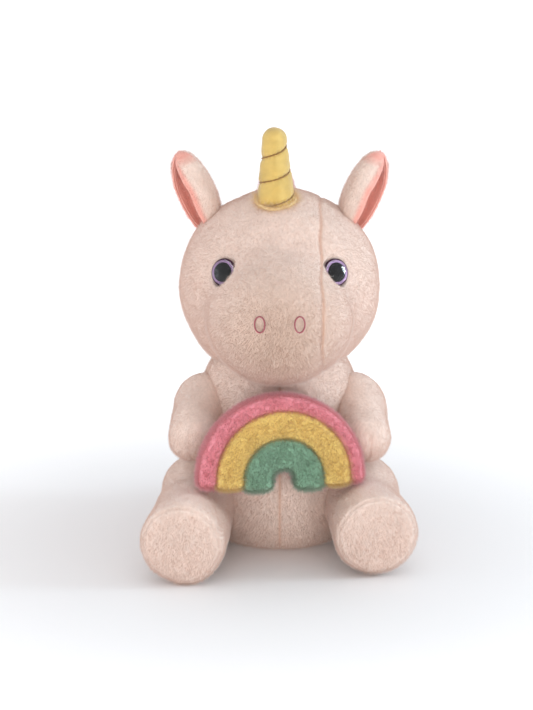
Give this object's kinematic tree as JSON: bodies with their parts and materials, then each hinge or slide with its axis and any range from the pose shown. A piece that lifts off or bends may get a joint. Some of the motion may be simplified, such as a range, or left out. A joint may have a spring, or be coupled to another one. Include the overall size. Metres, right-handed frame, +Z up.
{
  "type": "plush unicorn toy",
  "caption": "Seated stuffed unicorn that hugs a stuffed rainbow, with a satin horn, cupped ears, safety eyes and soft sewn limbs.",
  "frame": {"origin": "on the floor, below the middle of the toy's bounding box", "axes": "+Z up, the toy faces -Y, +X is the toy's own left"},
  "size_m": [0.1577, 0.1847, 0.25],
  "materials": {
    "body_plush": "short pile plush, pale peach",
    "ear_lining_plush": "coral plush",
    "mane_plush": "pale pink plush",
    "horn_satin": "gold satin",
    "collar_plush": "yellow plush",
    "horn_thread": "brown thread",
    "nose_thread": "dusty rose thread",
    "neck_thread": "peach thread",
    "rainbow_pink": "fluffy plush",
    "rainbow_yellow": "fluffy plush",
    "rainbow_green": "fluffy plush",
    "filling": "polyester fibre filling",
    "pellet_pouch": "woven pouch of plastic pellets",
    "eye_back": "dark purple",
    "eye_iris": "lilac",
    "eye_pupil": "black",
    "eye_lens": "clear acrylic dome",
    "washer": "white plastic"
  },
  "bodies": {
    "torso": {"body_front_left": "body_plush", "body_front_right": "body_plush", "body_back_left": "body_plush", "body_back_right": "body_plush", "body_seat": "body_plush", "body_filling": "filling", "seat_pouch": "pellet_pouch"},
    "neck_turn": {"neck_thread": "neck_thread"},
    "neck_tilt": {"neck_filling": "filling"},
    "head": {"head_gusset": "body_plush", "head_side_left": "body_plush", "head_side_right": "body_plush", "head_back": "body_plush", "head_filling": "filling", "horn_cover": "horn_satin", "horn_filling": "filling", "horn_thread": "horn_thread", "horn_collar": "collar_plush", "mane": "mane_plush", "left_eye_post_plate": "eye_back", "left_eye_iris": "eye_iris", "left_eye_pupil": "eye_pupil", "left_eye_lens": "eye_lens", "left_eye_washer": "washer", "left_nostril": "nose_thread", "right_eye_post_plate": "eye_back", "right_eye_iris": "eye_iris", "right_eye_pupil": "eye_pupil", "right_eye_lens": "eye_lens", "right_eye_washer": "washer", "right_nostril": "nose_thread"},
    "left_ear": {"left_ear_outer": "body_plush", "left_ear_lining": "ear_lining_plush"},
    "right_ear": {"right_ear_outer": "body_plush", "right_ear_lining": "ear_lining_plush"},
    "left_arm": {"left_arm_cover": "body_plush", "left_arm_filling": "filling", "rainbow_pink": "rainbow_pink", "rainbow_yellow": "rainbow_yellow", "rainbow_green": "rainbow_green", "rainbow_back": "rainbow_pink", "rainbow_filling": "filling"},
    "right_arm": {"right_arm_cover": "body_plush", "right_arm_filling": "filling"},
    "left_leg": {"left_leg_cover": "body_plush", "left_leg_sole": "body_plush", "left_leg_filling": "filling"},
    "right_leg": {"right_leg_cover": "body_plush", "right_leg_sole": "body_plush", "right_leg_filling": "filling"},
    "tail": {"tail_cover": "mane_plush", "tail_filling": "filling"}
  },
  "joints": [
    {"name": "head_turn", "type": "hinge", "parent": "torso", "child": "neck_turn", "pos_m": [0, 0.012, 0.0845], "axis": [0, 0, 1], "range_deg": [-20, 20], "stiffness_Nm_per_rad": 0.8},
    {"name": "head_tilt", "type": "hinge", "parent": "neck_turn", "child": "neck_tilt", "pos_m": [0, 0.012, 0.0845], "axis": [0, 1, 0], "range_deg": [-8, 8], "stiffness_Nm_per_rad": 1.2},
    {"name": "head_nod", "type": "hinge", "parent": "neck_tilt", "child": "head", "pos_m": [0, 0.012, 0.0845], "axis": [1, 0, 0], "range_deg": [-14, 0], "stiffness_Nm_per_rad": 1.2},
    {"name": "left_ear_bend", "type": "hinge", "parent": "head", "child": "left_ear", "pos_m": [0.0435, 0.013, 0.1943], "axis": [0.6972, 0, -0.7169], "range_deg": [-15, 15], "stiffness_Nm_per_rad": 0.05},
    {"name": "left_shoulder", "type": "hinge", "parent": "torso", "child": "left_arm", "pos_m": [0.0445, 0.001, 0.084], "axis": [-1, 0, 0], "range_deg": [-1, 2], "stiffness_Nm_per_rad": 1.5},
    {"name": "left_leg_splay", "type": "hinge", "parent": "torso", "child": "left_leg", "pos_m": [0.0475, -0.016, 0.029], "axis": [0, 0, 1], "range_deg": [-2, 20], "stiffness_Nm_per_rad": 0.3},
    {"name": "right_ear_bend", "type": "hinge", "parent": "head", "child": "right_ear", "pos_m": [-0.0435, 0.013, 0.1943], "axis": [0.6972, 0, 0.7169], "range_deg": [-15, 15], "stiffness_Nm_per_rad": 0.05},
    {"name": "right_shoulder", "type": "hinge", "parent": "torso", "child": "right_arm", "pos_m": [-0.0445, 0.001, 0.084], "axis": [-1, 0, 0], "range_deg": [-1, 2], "stiffness_Nm_per_rad": 1.5},
    {"name": "right_leg_splay", "type": "hinge", "parent": "torso", "child": "right_leg", "pos_m": [-0.0475, -0.016, 0.029], "axis": [0, 0, -1], "range_deg": [-2, 20], "stiffness_Nm_per_rad": 0.3},
    {"name": "tail_wag", "type": "hinge", "parent": "torso", "child": "tail", "pos_m": [0, 0.0655, 0.036], "axis": [0, 0, 1], "range_deg": [-16, 16], "stiffness_Nm_per_rad": 0.03}
  ],
  "couplings": [
    {"joint": "right_shoulder", "follows": "left_shoulder", "ratio": 1}
  ]
}
